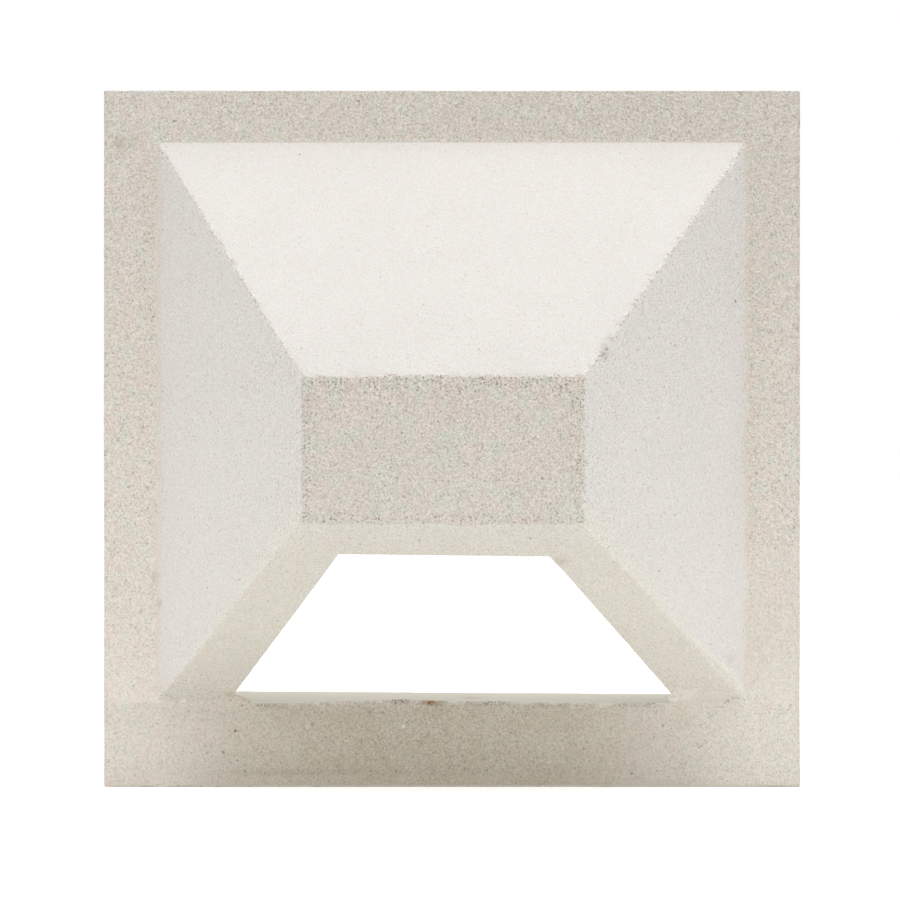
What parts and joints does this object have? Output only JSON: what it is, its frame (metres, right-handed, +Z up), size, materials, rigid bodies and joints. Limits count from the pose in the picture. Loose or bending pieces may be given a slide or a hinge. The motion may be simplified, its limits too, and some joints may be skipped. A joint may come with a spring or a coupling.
{
  "type": "screen block",
  "caption": "Square cast-concrete ventilation screen block. A hollow cut-off pyramid on its front forms a rain hood, open along its underside and at the back.",
  "frame": {"origin": "middle of the footprint, on the bed face the block stands on", "axes": "+Z up the wall, the hood points toward -Y, +Y is the open back, +X is to the right seen from the front"},
  "size_m": [0.2, 0.11, 0.2],
  "materials": {
    "concrete": "matte"
  },
  "bodies": {
    "root": {"screen_block": "concrete"}
  },
  "joints": []
}
